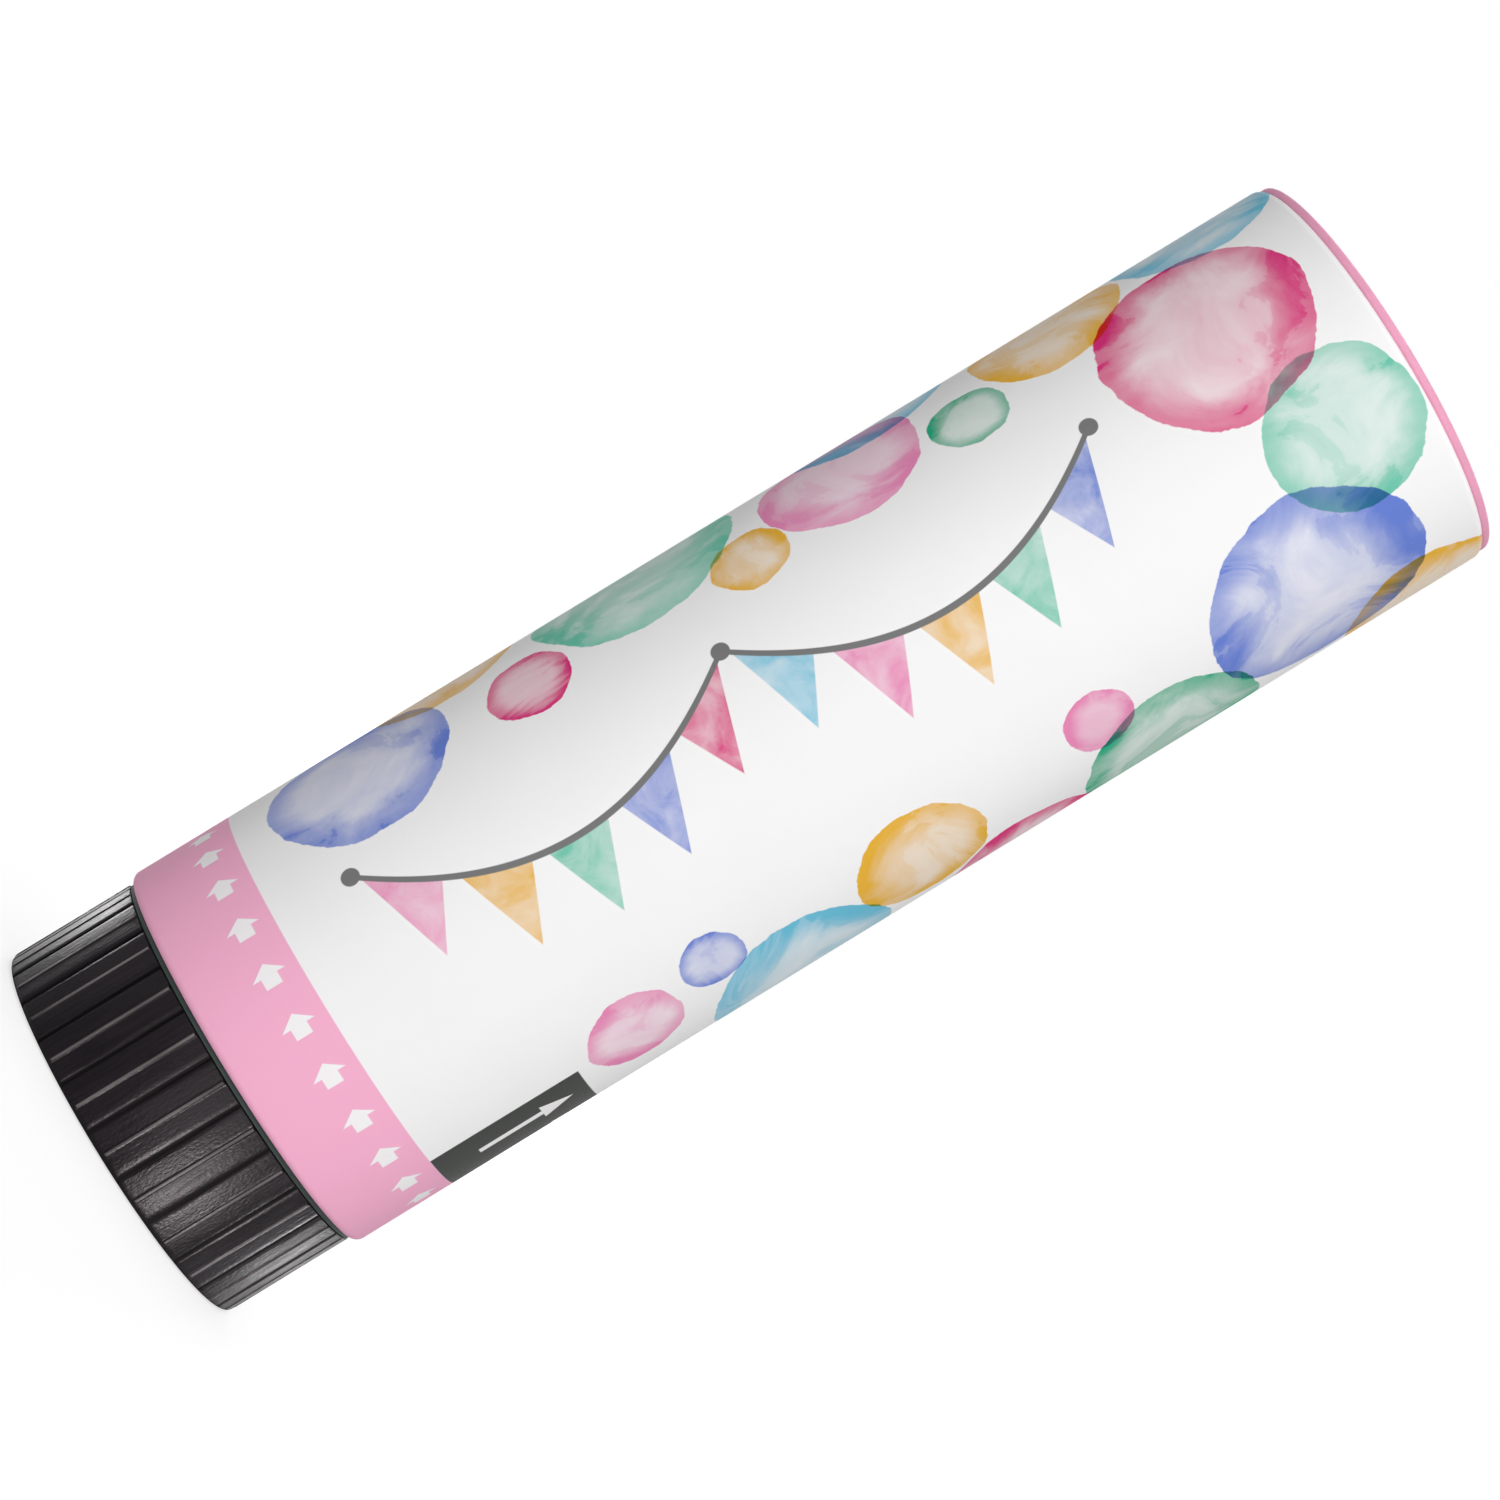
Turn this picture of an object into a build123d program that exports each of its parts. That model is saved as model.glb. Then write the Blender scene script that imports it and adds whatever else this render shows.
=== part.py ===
from build123d import *

import math
import os

# A spring-loaded confetti popper that stands on its twist knob, in millimetres.
# The tube's axis is Z, and the origin is the middle of the knob's foot.

# Cardboard tube and the printed paper round it
tube_bore = 29.2
tube_wall = 1.25
tube_length = 98.4
tube_end_round = 0.55
paper = 0.15
lap_width = 6.0

# Card lid glued over the muzzle
lid_thickness = 0.7
lid_inset = 0.2
lid_edge_round = 0.25

# Twist knob, a fluted cup
knob_height = 10.4
knob_step = 0.5
flute_count = 24
flute_phase = 2.5
flute_depth = 0.4
flute_crest = 0.4
crest_rise = 0.1
knob_wall = 1.4
knob_floor = 1.6
knob_foot_round = 0.6
knob_rim_chamfer = 0.15
foot_recess = 0.6
foot_width = 2.2

# Fork on the knob's floor that turns the latch bar, and the turn stops beside it.
# The knob and the bar are drawn at the end of the turn, where the latch lets go.
fork_wall = 1.6
fork_web = 1.4
stop_lug_span = 29.0
stop_bite = 3.0
turn_angle = 90.0
turn_slack = 0.5

# Spring seat, glued into the tube's lower end
flange_thickness = 0.4
flange_step = 0.1
collar_wall = 1.4
collar_slots = 6
collar_slot_width = 1.6
bead_height = 0.6
bead_length = 1.2
plug_wall = 1.4
plug_length = 9.0
plug_barbs = 3
plug_barb_length = 1.2
seat_floor = 2.0
seat_floor_rise = 1.0
spring_ring_wall = 1.0
spring_ring_height = 2.4

# Launch spring, at its compressed length
wire = 1.2
coil_turns = 9
closed_turns = 1
closed_gap = 0.5
coil_side_gap = 1.95
compressed_length = 24.0

# Pusher and the latch stem that holds it down
pusher_plate = 2.4
pusher_skirt = 9.6
pusher_wall = 1.2
boss_wall = 1.4
boss_length = 4.0
stem_radius = 2.2
stem_head_radius = 6.0
stem_head = 1.2
bar_reach = 3.2
bar_height = 3.0
bar_chamfer = 0.6

# Wad and paper confetti
wad_thickness = 1.5
flake_width = 9.0
flake_thickness = 0.4
flake_tilt = 5.0
flake_end_gap = 1.0
flakes_abreast = 2
golden_angle = 137.5
confetti_colours = ("pink", "yellow", "mint", "sky", "lilac", "white")

# Clearances
turn_gap = 0.1
bore_gap = 0.3
barb_gap = 0.03
fork_gap = 0.25
slide_gap = 0.25
loose_gap = 0.2
snap_gap = 0.2
stop_gap = 0.6
overrun = 1.0

# Radii worked out from the sizes above
bore_radius = tube_bore / 2
tube_radius = bore_radius + tube_wall
wrap_radius = tube_radius + paper
crest_radius = wrap_radius - knob_step
valley_radius = crest_radius - flute_depth
knob_bore = valley_radius - knob_wall
collar_radius = knob_bore - turn_gap
collar_inside = collar_radius - collar_wall
plug_radius = bore_radius - bore_gap
plug_inside = plug_radius - plug_wall
pusher_radius = bore_radius - slide_gap
pusher_inside = pusher_radius - pusher_wall
coil_radius = pusher_inside - coil_side_gap - wire / 2
spring_ring = coil_radius - wire / 2 - slide_gap
bar_half = stem_radius + bar_reach
fork_inside = bar_half + fork_gap
fork_radius = fork_inside + fork_wall
stop_inside = fork_radius + stop_gap
stop_outside = collar_inside - stop_gap

# Heights worked out from the sizes above
floor_top = foot_recess + knob_floor
collar_low = floor_top + stop_gap
flange_low = knob_height + turn_gap
tube_low = flange_low + flange_thickness
tube_top = tube_low + tube_length
seat_under = tube_low + seat_floor_rise
seat_top = seat_under + seat_floor
plate_under = seat_top + compressed_length
plate_top = plate_under + pusher_plate
bar_top = seat_under - turn_gap
bar_low = bar_top - bar_height
wad_top = plate_top + wad_thickness

# Every cylinder, cone and block here stands on its lower end.
on_base = (Align.CENTER, Align.CENTER, Align.MIN)


def disc(radius, low, high):
    """A solid round slice of the popper between two heights."""
    return Pos(0, 0, low) * Cylinder(radius, high - low, align=on_base)


def ring(outside, inside, low, high):
    """A round slice with a bore."""
    return disc(outside, low, high) - disc(inside, low - overrun, high + overrun)


def taper(low_radius, high_radius, low, high):
    """A round slice whose radius changes evenly between two heights."""
    return Pos(0, 0, low) * Cone(low_radius, high_radius, high - low, align=on_base)


def block(length, width, low, high):
    """A block on the axis between two heights."""
    return Pos(0, 0, low) * Box(length, width, high - low, align=on_base)


def sector(outside, inside, low, high, start, span):
    """A part of a ring, from a start angle over a span, in degrees."""
    edges = []
    for angle in (start, start + span):
        inner = Vector(inside, 0).rotate(Axis.Z, angle)
        outer = Vector(outside, 0).rotate(Axis.Z, angle)
        edges.append(Line(inner, outer))
    for radius in (inside, outside):
        edges.append(CenterArc((0, 0), radius, start, span))
    return Pos(0, 0, low) * extrude(make_face(edges), high - low)


def edges_at(shape, height):
    """The edges of a shape that lie at one height."""
    return shape.edges().filter_by_position(Axis.Z, height, height)


def rounded_tube(radius, low, high, end_round):
    """A solid cylinder with both ends rounded over."""
    body = disc(radius, low, high)
    return fillet(edges_at(body, low) + edges_at(body, high), end_round)


def cardboard_tube():
    body = rounded_tube(tube_radius, tube_low, tube_top, tube_end_round)
    return body - disc(bore_radius, tube_low - overrun, tube_top + overrun)


def printed_wrap():
    """The paper follows the tube's rounded ends and laps over itself at the back."""
    end_round = tube_end_round + paper
    skin = rounded_tube(wrap_radius, tube_low - paper, tube_top + paper, end_round)
    skin = skin & disc(wrap_radius + overrun, tube_low, tube_top)
    skin = skin - rounded_tube(tube_radius, tube_low, tube_top, tube_end_round)
    lap_span = math.degrees(lap_width / wrap_radius)
    lap_start = math.degrees(math.pi / 2) - lap_span / 2
    lap_low = tube_low + end_round
    lap_top = tube_top - end_round
    return skin + sector(wrap_radius + paper, wrap_radius, lap_low, lap_top, lap_start, lap_span)


def muzzle_lid():
    return rounded_tube(wrap_radius - lid_inset, tube_top, tube_top + lid_thickness, lid_edge_round)


def fluted_prism():
    """Shallow hollow flutes between narrow rounded ribs, as an upright prism."""
    pitch = 2 * math.pi / flute_count
    half_crest = flute_crest / 2 / crest_radius
    rib_foot = crest_radius - crest_rise
    phase = math.radians(flute_phase + turn_angle)

    def at(radius, angle):
        return (radius * math.cos(angle), radius * math.sin(angle))

    edges = []
    for number in range(flute_count):
        middle = number * pitch + phase
        rib_start = at(rib_foot, middle - half_crest)
        rib_end = at(rib_foot, middle + half_crest)
        next_rib = at(rib_foot, middle + pitch - half_crest)
        edges.append(ThreePointArc(rib_start, at(crest_radius, middle), rib_end))
        edges.append(ThreePointArc(rib_end, at(valley_radius, middle + pitch / 2), next_rib))
    return extrude(make_face(edges), knob_height)


def knob_shell():
    """The fluted cup, with a foot ring under it and a groove inside for the seat's snap bead."""
    envelope = disc(crest_radius, 0, knob_height)
    envelope = fillet(edges_at(envelope, 0), knob_foot_round)
    envelope = chamfer(edges_at(envelope, knob_height), knob_rim_chamfer)
    cup = fluted_prism() & envelope
    cup = cup - disc(knob_bore, floor_top, knob_height + overrun)
    groove_low = collar_low - snap_gap
    groove_top = collar_low + bead_height + bead_length + snap_gap
    cup = cup - disc(knob_bore + bead_height + turn_gap, groove_low, groove_top)
    return cup - disc(valley_radius - foot_width, -overrun, foot_recess)


def latch_fork():
    """A tube on the knob's floor with two webs across it, which hold the latch bar between them."""
    fork_top = seat_under - stop_gap
    fork = ring(fork_radius, fork_inside, floor_top, fork_top)
    bore = disc(fork_inside + fork_wall / 2, floor_top, fork_top)
    web_place = stem_radius + fork_gap + fork_web / 2
    web = block(2 * fork_radius, fork_web, floor_top, fork_top)
    for side in (-web_place, web_place):
        fork = fork + (Pos(0, side, 0) * web & bore)
    return fork


def twist_knob():
    """The cup with its fork and two stop lugs, turned from the latched place to the end of the twist."""
    knob = knob_shell() + latch_fork()
    lug_top = collar_low + stop_bite
    for half_turn in (0, 180):
        start = half_turn + turn_slack - stop_lug_span
        knob = knob + sector(stop_outside, stop_inside, floor_top, lug_top, start, stop_lug_span)
    return Rot(0, 0, -turn_angle) * knob


def seat_plug():
    """The seat inside the tube: a barbed wall, a slotted floor and a ring that centres the spring."""
    plug_top = tube_low + plug_length
    plug = disc(plug_radius, tube_low, plug_top)
    pitch = plug_length / (plug_barbs + 1)
    for number in range(plug_barbs):
        barb_low = tube_low + pitch * (number + 1) - plug_barb_length / 2
        barb_top = barb_low + plug_barb_length
        plug = plug + taper(bore_radius - barb_gap, plug_radius, barb_low, barb_top)
    plug = plug - disc(plug_inside, seat_top, plug_top + overrun)
    plug = plug - disc(collar_inside, tube_low - overrun, seat_under)
    ring_top = seat_top + spring_ring_height
    plug = plug + ring(spring_ring, spring_ring - spring_ring_wall, seat_top, ring_top)
    slot_half = bar_half + fork_gap
    slot = block(2 * (stem_radius + fork_gap), 2 * slot_half, seat_under - overrun, seat_top + overrun)
    return plug - slot


def seat_collar():
    """The flange under the tube and the slotted collar whose bead snaps into the knob."""
    collar = ring(collar_radius, collar_inside, collar_low, tube_low)
    bead_low = collar_low + bead_height
    bead = taper(collar_radius, collar_radius + bead_height, collar_low, bead_low)
    bead = bead + disc(collar_radius + bead_height, bead_low, bead_low + bead_length)
    collar = collar + (bead - disc(collar_inside, collar_low - overrun, tube_low))
    for number in range(collar_slots):
        slot = block(wrap_radius, collar_slot_width, collar_low - overrun, flange_low - collar_wall)
        slot = Pos(wrap_radius / 2 + stop_outside, 0, 0) * slot
        collar = collar - Rot(0, 0, 360 * number / collar_slots) * slot
    return collar + ring(crest_radius - flange_step, collar_inside, flange_low, tube_low)


def spring_seat():
    seat = seat_plug() + seat_collar()
    tab_span = 180 - turn_angle - stop_lug_span - 2 * turn_slack
    for half_turn in (0, 180):
        start = half_turn + 2 * turn_slack
        seat = seat + sector(stop_outside, stop_inside, collar_low, seat_under, start, tab_span)
    return seat


def coil_stations():
    """Points half a turn apart along the coil, each with its heading. The end turns lie closer."""
    low = seat_top + wire / 2 + turn_gap
    high = plate_under - wire / 2 - turn_gap
    closed_pitch = wire + closed_gap
    open_turns = coil_turns - 2 * closed_turns
    open_pitch = (high - low - 2 * closed_turns * closed_pitch) / open_turns

    def height(turn):
        opened = min(max(turn - closed_turns, 0), open_turns)
        return low + (turn - opened) * closed_pitch + opened * open_pitch

    stations = []
    for number in range(2 * coil_turns + 1):
        turn = number / 2
        before = max(turn - 1 / 2, 0)
        after = min(turn + 1 / 2, coil_turns)
        climb = (height(after) - height(before)) / (after - before) / (2 * math.pi)
        east = coil_radius * math.cos(math.pi * number)
        north = coil_radius * math.sin(math.pi * number)
        stations.append((Vector(east, north, height(turn)), Vector(-north, east, climb).normalized()))
    return stations


def biarc(first, second):
    """Two arcs that leave one station and reach the next along their headings."""
    start, start_heading = first
    end, end_heading = second
    chord = end - start
    curve = 2 * (1 - start_heading.dot(end_heading))
    along = chord.dot(start_heading + end_heading)
    reach = (math.sqrt(along * along + curve * chord.dot(chord)) - along) / curve
    joint = (start + end + (start_heading - end_heading) * reach) / 2
    opening = TangentArc(start, joint, tangent=start_heading)
    return [opening, TangentArc(joint, end, tangent=opening % 1)]


def print_coil_gap(path):
    """Prints the least gap between turns, measured on points along the wire."""
    steps_per_turn = 36
    steps = steps_per_turn * coil_turns
    points = [path.position_at(step / steps) for step in range(steps + 1)]
    nearest = min(
        (points[one] - points[other]).length
        for one in range(steps + 1)
        for other in range(one + steps_per_turn // 2, steps + 1)
    )
    print("spring wire is", round(path.length, 1), "mm long, least gap", round(nearest - wire, 2), "mm")


def launch_spring():
    """One unbroken steel wire, wound on arcs of a quarter turn."""
    stations = coil_stations()
    edges = []
    for first, second in zip(stations, stations[1:]):
        edges.extend(biarc(first, second))
    path = Wire(edges)
    print_coil_gap(path)
    start, heading = stations[0]
    return sweep(Plane(origin=start, z_dir=heading) * Circle(wire / 2), path=path)


def pusher():
    """A piston cup over the spring, with a recess in which the stem's head can turn."""
    skirt_low = plate_under - pusher_skirt
    stem_hole = stem_radius + turn_gap
    cup = disc(pusher_radius, skirt_low, plate_top)
    cup = cup - disc(pusher_inside, skirt_low - overrun, plate_under)
    cup = cup + disc(stem_hole + boss_wall, plate_under - boss_length, plate_under)
    ring_low = plate_under - spring_ring_height
    cup = cup + ring(spring_ring, spring_ring - spring_ring_wall, ring_low, plate_under)
    cup = cup - disc(stem_hole, plate_under - boss_length - overrun, plate_top + overrun)
    recess_low = plate_top - stem_head - turn_gap
    return cup - disc(stem_head_radius + turn_gap, recess_low, plate_top + overrun)


def latch_stem():
    """A headed stem with a bar across its foot, which hooks under the seat until the twist ends."""
    stem = disc(stem_head_radius, plate_top - stem_head, plate_top)
    stem = stem + disc(stem_radius, bar_low, plate_top)
    bar = block(2 * bar_half, 2 * stem_radius, bar_low, bar_top) & disc(bar_half, bar_low, bar_top)
    bar = chamfer(edges_at(bar, bar_low), bar_chamfer)
    stem = stem - disc(stem_radius + overrun, bar_low - overrun, bar_top) + bar
    return Rot(0, 0, -turn_angle) * stem


def wad_disc():
    return disc(pusher_radius - loose_gap, plate_top, wad_top)


def confetti():
    """Layers of tilted paper flakes, each layer turned by the golden angle, sorted by colour."""
    half_stack = flakes_abreast * (flake_width + loose_gap) / 2
    flake_length = 2 * math.sqrt((bore_radius - flake_end_gap) ** 2 - half_stack ** 2)
    tilt = math.radians(flake_tilt)
    rise = flake_width * math.sin(tilt) + flake_thickness * math.cos(tilt)
    stack = tube_top - wad_top - turn_gap
    layers = int(stack / (rise + turn_gap))
    pitch = stack / layers
    sheet = Box(flake_length, flake_width, flake_thickness)
    by_colour = {colour: [] for colour in confetti_colours}
    for layer in range(layers):
        middle = wad_top + turn_gap + layer * pitch + rise / 2
        for abreast in range(flakes_abreast):
            across = (abreast - (flakes_abreast - 1) / 2) * (flake_width + loose_gap)
            lean = flake_tilt * (-1) ** (layer + abreast)
            flake = Pos(0, across, middle) * Rot(lean, 0, 0) * sheet
            number = layer * flakes_abreast + abreast + layer // flakes_abreast
            colour = confetti_colours[number % len(confetti_colours)]
            by_colour[colour].append(Rot(0, 0, golden_angle * layer) * flake)
    return by_colour


def main():
    nodes = {
        "cardboard_tube": cardboard_tube(),
        "printed_wrap": printed_wrap(),
        "muzzle_lid": muzzle_lid(),
        "twist_knob": twist_knob(),
        "spring_seat": spring_seat(),
        "launch_spring": launch_spring(),
        "pusher": pusher(),
        "latch_stem": latch_stem(),
        "wad_disc": wad_disc(),
    }
    for colour, flakes in confetti().items():
        nodes["confetti_" + colour] = Compound(children=flakes)
    os.makedirs("parts", exist_ok=True)
    for name, shape in nodes.items():
        export_step(shape, os.path.join("parts", name + ".step"))


main()
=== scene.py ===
import math
import random

import bmesh
import bpy
from bpy.props import FloatProperty, FloatVectorProperty, IntProperty, PointerProperty
from mathutils import Matrix, Vector


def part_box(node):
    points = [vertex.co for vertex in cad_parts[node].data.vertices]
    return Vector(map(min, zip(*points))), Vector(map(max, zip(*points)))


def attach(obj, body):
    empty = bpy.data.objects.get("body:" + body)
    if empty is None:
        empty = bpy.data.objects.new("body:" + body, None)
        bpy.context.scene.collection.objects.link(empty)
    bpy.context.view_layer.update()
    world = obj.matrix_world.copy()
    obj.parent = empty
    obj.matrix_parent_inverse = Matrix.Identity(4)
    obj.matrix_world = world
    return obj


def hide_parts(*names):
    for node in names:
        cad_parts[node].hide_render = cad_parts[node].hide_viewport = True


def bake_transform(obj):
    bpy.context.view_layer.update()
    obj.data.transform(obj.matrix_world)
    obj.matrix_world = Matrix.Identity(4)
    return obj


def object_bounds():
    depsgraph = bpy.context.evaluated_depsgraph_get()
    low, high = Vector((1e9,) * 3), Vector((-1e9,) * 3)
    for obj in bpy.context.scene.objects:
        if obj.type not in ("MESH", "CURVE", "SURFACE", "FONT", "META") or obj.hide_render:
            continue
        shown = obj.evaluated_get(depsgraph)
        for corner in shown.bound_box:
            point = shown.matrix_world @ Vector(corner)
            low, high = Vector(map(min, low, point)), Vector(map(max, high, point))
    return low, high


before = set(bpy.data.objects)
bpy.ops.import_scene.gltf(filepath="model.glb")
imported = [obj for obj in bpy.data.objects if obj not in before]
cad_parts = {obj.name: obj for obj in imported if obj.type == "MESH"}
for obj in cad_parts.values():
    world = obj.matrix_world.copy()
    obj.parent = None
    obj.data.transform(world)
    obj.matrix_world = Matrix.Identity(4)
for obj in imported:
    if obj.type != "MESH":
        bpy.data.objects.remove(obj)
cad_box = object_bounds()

bl_info = {
    "name": "Confetti popper finishes",
    "version": (1, 0, 0),
    "blender": (4, 5, 0),
    "location": "3D View > Sidebar > Popper",
    "description": "Gives a spring confetti popper its printed paper, card, plastic, steel and tissue",
    "category": "Object",
}

# Lengths in Blender are metres, and the print is drawn in millimetres.
mm = 0.001
per_mm = 1 / mm

# Places of the CAD pieces that the modelled ones fit to
tube_low, tube_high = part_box("cardboard_tube")
wrap_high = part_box("printed_wrap")[1]
spring_low, spring_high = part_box("launch_spring")
pusher_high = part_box("pusher")[1]
wad_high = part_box("wad_disc")[1]
knob_spots = [vertex.co.copy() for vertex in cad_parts["twist_knob"].data.vertices]
knob_radius = max(math.hypot(*spot.xy) for spot in knob_spots)
tube_radius = tube_high.x
wrap_radius = wrap_high.x
paper = wrap_radius - tube_radius
flake_nodes = [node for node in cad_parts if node.startswith("confetti_")]


def linear(code):
    """A linear colour, with alpha, from an sRGB hex code."""
    shares = [int(code[place:place + 2], 16) / 255 for place in (0, 2, 4)]
    levels = [s / 12.92 if s <= 0.04045 else ((s + 0.055) / 1.055) ** 2.4 for s in shares]
    return (*levels, 1.0)


def colour(name, words, code):
    """A colour property that a user can change."""
    return FloatVectorProperty(name=name, description=words, subtype="COLOR", size=4, min=0, max=1,
                               default=linear(code))


def length(name, words, size):
    """A length property in metres."""
    return FloatProperty(name=name, description=words, subtype="DISTANCE", unit="LENGTH", default=size)


class PopperPrint(bpy.types.PropertyGroup):
    """Inks and layout of the printed paper."""
    paper: colour("Paper", "Bare coated paper", "F6F5F5")
    band: colour("Band", "Plain band above the knob", "F6B2D0")
    arrows: colour("Arrows", "Twist arrows, left unprinted in the band", "F6F3F4")
    grey: colour("Grey", "Garland string", "787878")
    patch: colour("Patch", "Dark patch behind the launch arrows", "454745")
    band_top: length("Band top", "Height of the band's upper edge", 19.3 * mm)
    arrow_count: IntProperty(name="Arrow count", description="Twist arrows round the band", default=24,
                             min=1)


class PopperFinish(bpy.types.PropertyGroup):
    """Colours and small sizes of the other pieces."""
    lid: colour("Lid card", "Dyed card of the muzzle lid", "EDA2C0")
    board: colour("Tube card", "Wound greyboard of the tube", "B9A488")
    wad: colour("Wad card", "Die-cut greyboard of the wad", "AFA290")
    black: colour("Black plastic", "Moulded knob", "100D11")
    # Colour of the worn crests of the ribs, which also stands as a painted highlight along each rib
    worn_highlight: colour("Rubbed plastic", "Crests of the knob's ribs", "706B6A")
    grey: colour("Grey plastic", "Moulded spring seat", "3F4845")
    white: colour("White plastic", "Moulded pusher and latch stem", "E4E2DA")
    steel: colour("Spring steel", "Drawn wire of the spring", "B7B4AF")
    wire: length("Wire", "Diameter of the spring wire", 1.2 * mm)
    coil_turns: IntProperty(name="Turns", description="Turns of the spring", default=9, min=3)
    lap_width: length("Lap", "Width of the paper's glued lap", 6.0 * mm)
    flake_count: IntProperty(name="Flakes", description="Paper flakes in the charge", default=312, min=6)


class PopperStage(bpy.types.PropertyGroup):
    """Camera and light of the studio."""
    distance: length("Distance", "From the camera to the tube's axis", 334.8 * mm)
    height: length("Height", "Of the camera over the floor", 46.9 * mm)
    aim_height: length("Aim", "Height of the point that the camera looks at", 54.99 * mm)
    roll: FloatProperty(name="Roll", description="Turn of the camera about its view", subtype="ANGLE",
                        default=math.radians(58.58))
    lens: FloatProperty(name="Lens", description="Focal length", subtype="DISTANCE_CAMERA", default=107.36)
    ambient: FloatProperty(name="Ambient", description="Even light from all round", default=0.23, min=0)


def add(tree, kind, sockets=(), out=None, **settings):
    """Adds one shader node, sets its options, fills its sockets in order or by name with values
    or links, and returns one of its outputs."""
    node = tree.nodes.new("ShaderNode" + kind)
    for name, value in settings.items():
        setattr(node, name, value)
    usable = [socket for socket in node.inputs if socket.enabled]
    if not isinstance(sockets, dict):
        sockets = dict(enumerate(sockets))
    for key, value in sockets.items():
        socket = usable[key] if isinstance(key, int) else next(s for s in usable if s.name == key)
        if isinstance(value, bpy.types.NodeSocket):
            tree.links.new(value, socket)
        else:
            socket.default_value = value
    if out:
        return node.outputs[out]
    return next((socket for socket in node.outputs if socket.enabled), None)


def new_material(name, shader, **constants):
    """An empty material with one shader, whose constant sockets are set here. Returns it and its tree."""
    material = bpy.data.materials.new(name)
    material.use_nodes = True
    tree = material.node_tree
    tree.nodes.clear()
    sockets = {key.replace("_", " "): value for key, value in constants.items()}
    surface = add(tree, shader, sockets)
    add(tree, "OutputMaterial", {"Surface": surface})
    return material, tree, surface.node


def wear(node, material):
    """Puts a material on a CAD node."""
    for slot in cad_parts[node].material_slots:
        slot.material = material


def finish_mesh(mesh, material, sharp):
    """An object of a mesh's own name, shaded smooth with edges left sharp past an angle."""
    mesh.shade_smooth()
    mesh.set_sharp_from_angle(angle=sharp)
    mesh.materials.clear()
    mesh.materials.append(material)
    piece = bpy.data.objects.new(mesh.name, mesh)
    bpy.context.scene.collection.objects.link(piece)
    return piece


def mesh_piece(name, points, faces, material, sharp=math.radians(40)):
    """An object made of points and faces."""
    mesh = bpy.data.meshes.new(name)
    mesh.from_pydata(points, [], faces)
    return finish_mesh(mesh, material, sharp)


# Finishes: their widths, pitches and depths are in millimetres. The span is the middle stretch of a
# noise's values, where most of them lie.
noise_span = (0.3, 0.7)


def mottled(tree, noise, full, dark, span=noise_span):
    """A colour that drops to a dark share of itself where a noise is low."""
    shade = add(tree, "MapRange", (noise, *span, 0, 1))
    return add(tree, "Mix", (shade, tuple(dark * level for level in full), tuple(full)), data_type="RGBA")


def finish_surface(tree, surface, tone, sheen, relief, rough, strength, depth, span=noise_span):
    """Links a shader's colour, a roughness that follows a noise between two limits, and a bump whose
    depth is in millimetres. Returns the roughness."""
    gloss = add(tree, "MapRange", (sheen, *span, *rough))
    bump = add(tree, "Bump", {"Strength": strength, "Distance": depth * mm, "Height": relief})
    for name, source in (("Base Color", tone), ("Roughness", gloss), ("Normal", bump)):
        tree.links.new(source, surface.inputs[name])
    return gloss


# Printed paper: one sheet round the tube, whose map runs flat along the sheet
print_map = "OFBake"
end_round = 0.55 * mm
round_steps = 6
wall_rows = 48
sheet_steps = 288
lap_climb = math.radians(1.6)
# Shares of the map for the sheet's face, its back, its two rims and its two cut ends
face_u = (0.004, 0.984)
face_v = (0.004, 0.950)
back_v = (0.958, 0.984)
rim_v = ((0.988, 0.990), (0.994, 0.996))
cut_u = ((0.9875, 0.9895), (0.9935, 0.9955))


def between(limits, share):
    """A value part of the way from one limit to the other."""
    return limits[0] + (limits[1] - limits[0]) * share


def smooth_step(share):
    """A share that starts and ends gently, between 0 and 1."""
    share = min(max(share, 0), 1)
    return share * share * (3 - 2 * share)


def sheet_profile(stand_off):
    """Places (radius, height) up one face of the paper, which follows the tube's rounded ends."""
    bend = end_round + stand_off
    last = math.asin(end_round / bend)
    middle = tube_radius - end_round
    arc = [last * (1 - step / round_steps) for step in range(round_steps + 1)]
    low = [(middle + bend * math.cos(a), tube_low.z + end_round - bend * math.sin(a)) for a in arc]
    rise = tube_high.z - tube_low.z - 2 * end_round
    wall = [(middle + bend, low[-1][1] + rise * row / wall_rows) for row in range(1, wall_rows)]
    high = [(radius, tube_low.z + tube_high.z - height) for radius, height in reversed(low)]
    return low + wall + high


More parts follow.
